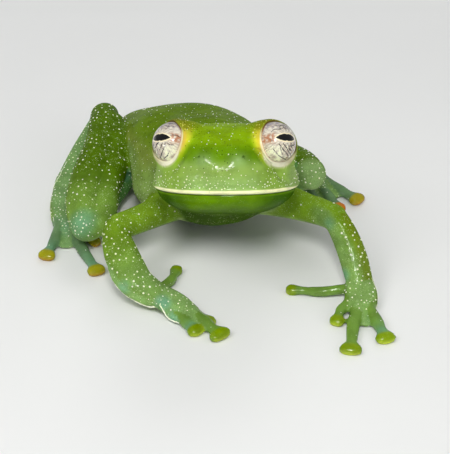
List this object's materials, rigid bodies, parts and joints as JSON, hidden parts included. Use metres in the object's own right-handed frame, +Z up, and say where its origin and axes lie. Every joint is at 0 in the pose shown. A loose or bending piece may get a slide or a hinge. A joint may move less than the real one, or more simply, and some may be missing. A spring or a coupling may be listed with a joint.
{
  "type": "glass frog",
  "caption": "Life-size glass frog sitting low with its head raised, its arms spread in front and its legs folded at its sides.",
  "frame": {"origin": "on the floor, under the middle of the frog's bounding box", "axes": "+Z up, -Y the way the frog faces, +X to the frog's own left"},
  "size_m": [0.0256, 0.0304, 0.0132],
  "materials": {
    "skin": "moist, thin yellow-green skin with small raised cream dots",
    "digit_skin": "moist, paler and half clear skin of the fingers and toes, with yellow discs",
    "iris": "silvery cream iris with a dark net, a black level pupil and a clear wet front"
  },
  "bodies": {
    "root": {"head": "skin", "torso": "skin", "eye_left": "iris", "eye_right": "iris", "upper_arm_left": "skin", "forearm_left": "skin", "hand_left": "skin", "thigh_left": "skin", "shank_left": "skin", "tarsus_left": "skin", "foot_left": "skin", "finger_1_left": "digit_skin", "finger_2_left": "digit_skin", "finger_3_left": "digit_skin", "finger_4_left": "digit_skin", "toe_1_left": "digit_skin", "toe_2_left": "digit_skin", "toe_3_left": "digit_skin", "toe_4_left": "digit_skin", "toe_5_left": "digit_skin", "upper_arm_right": "skin", "forearm_right": "skin", "hand_right": "skin", "thigh_right": "skin", "shank_right": "skin", "tarsus_right": "skin", "foot_right": "skin", "finger_1_right": "digit_skin", "finger_2_right": "digit_skin", "finger_3_right": "digit_skin", "finger_4_right": "digit_skin", "toe_1_right": "digit_skin", "toe_2_right": "digit_skin", "toe_3_right": "digit_skin", "toe_4_right": "digit_skin", "toe_5_right": "digit_skin"}
  },
  "joints": []
}
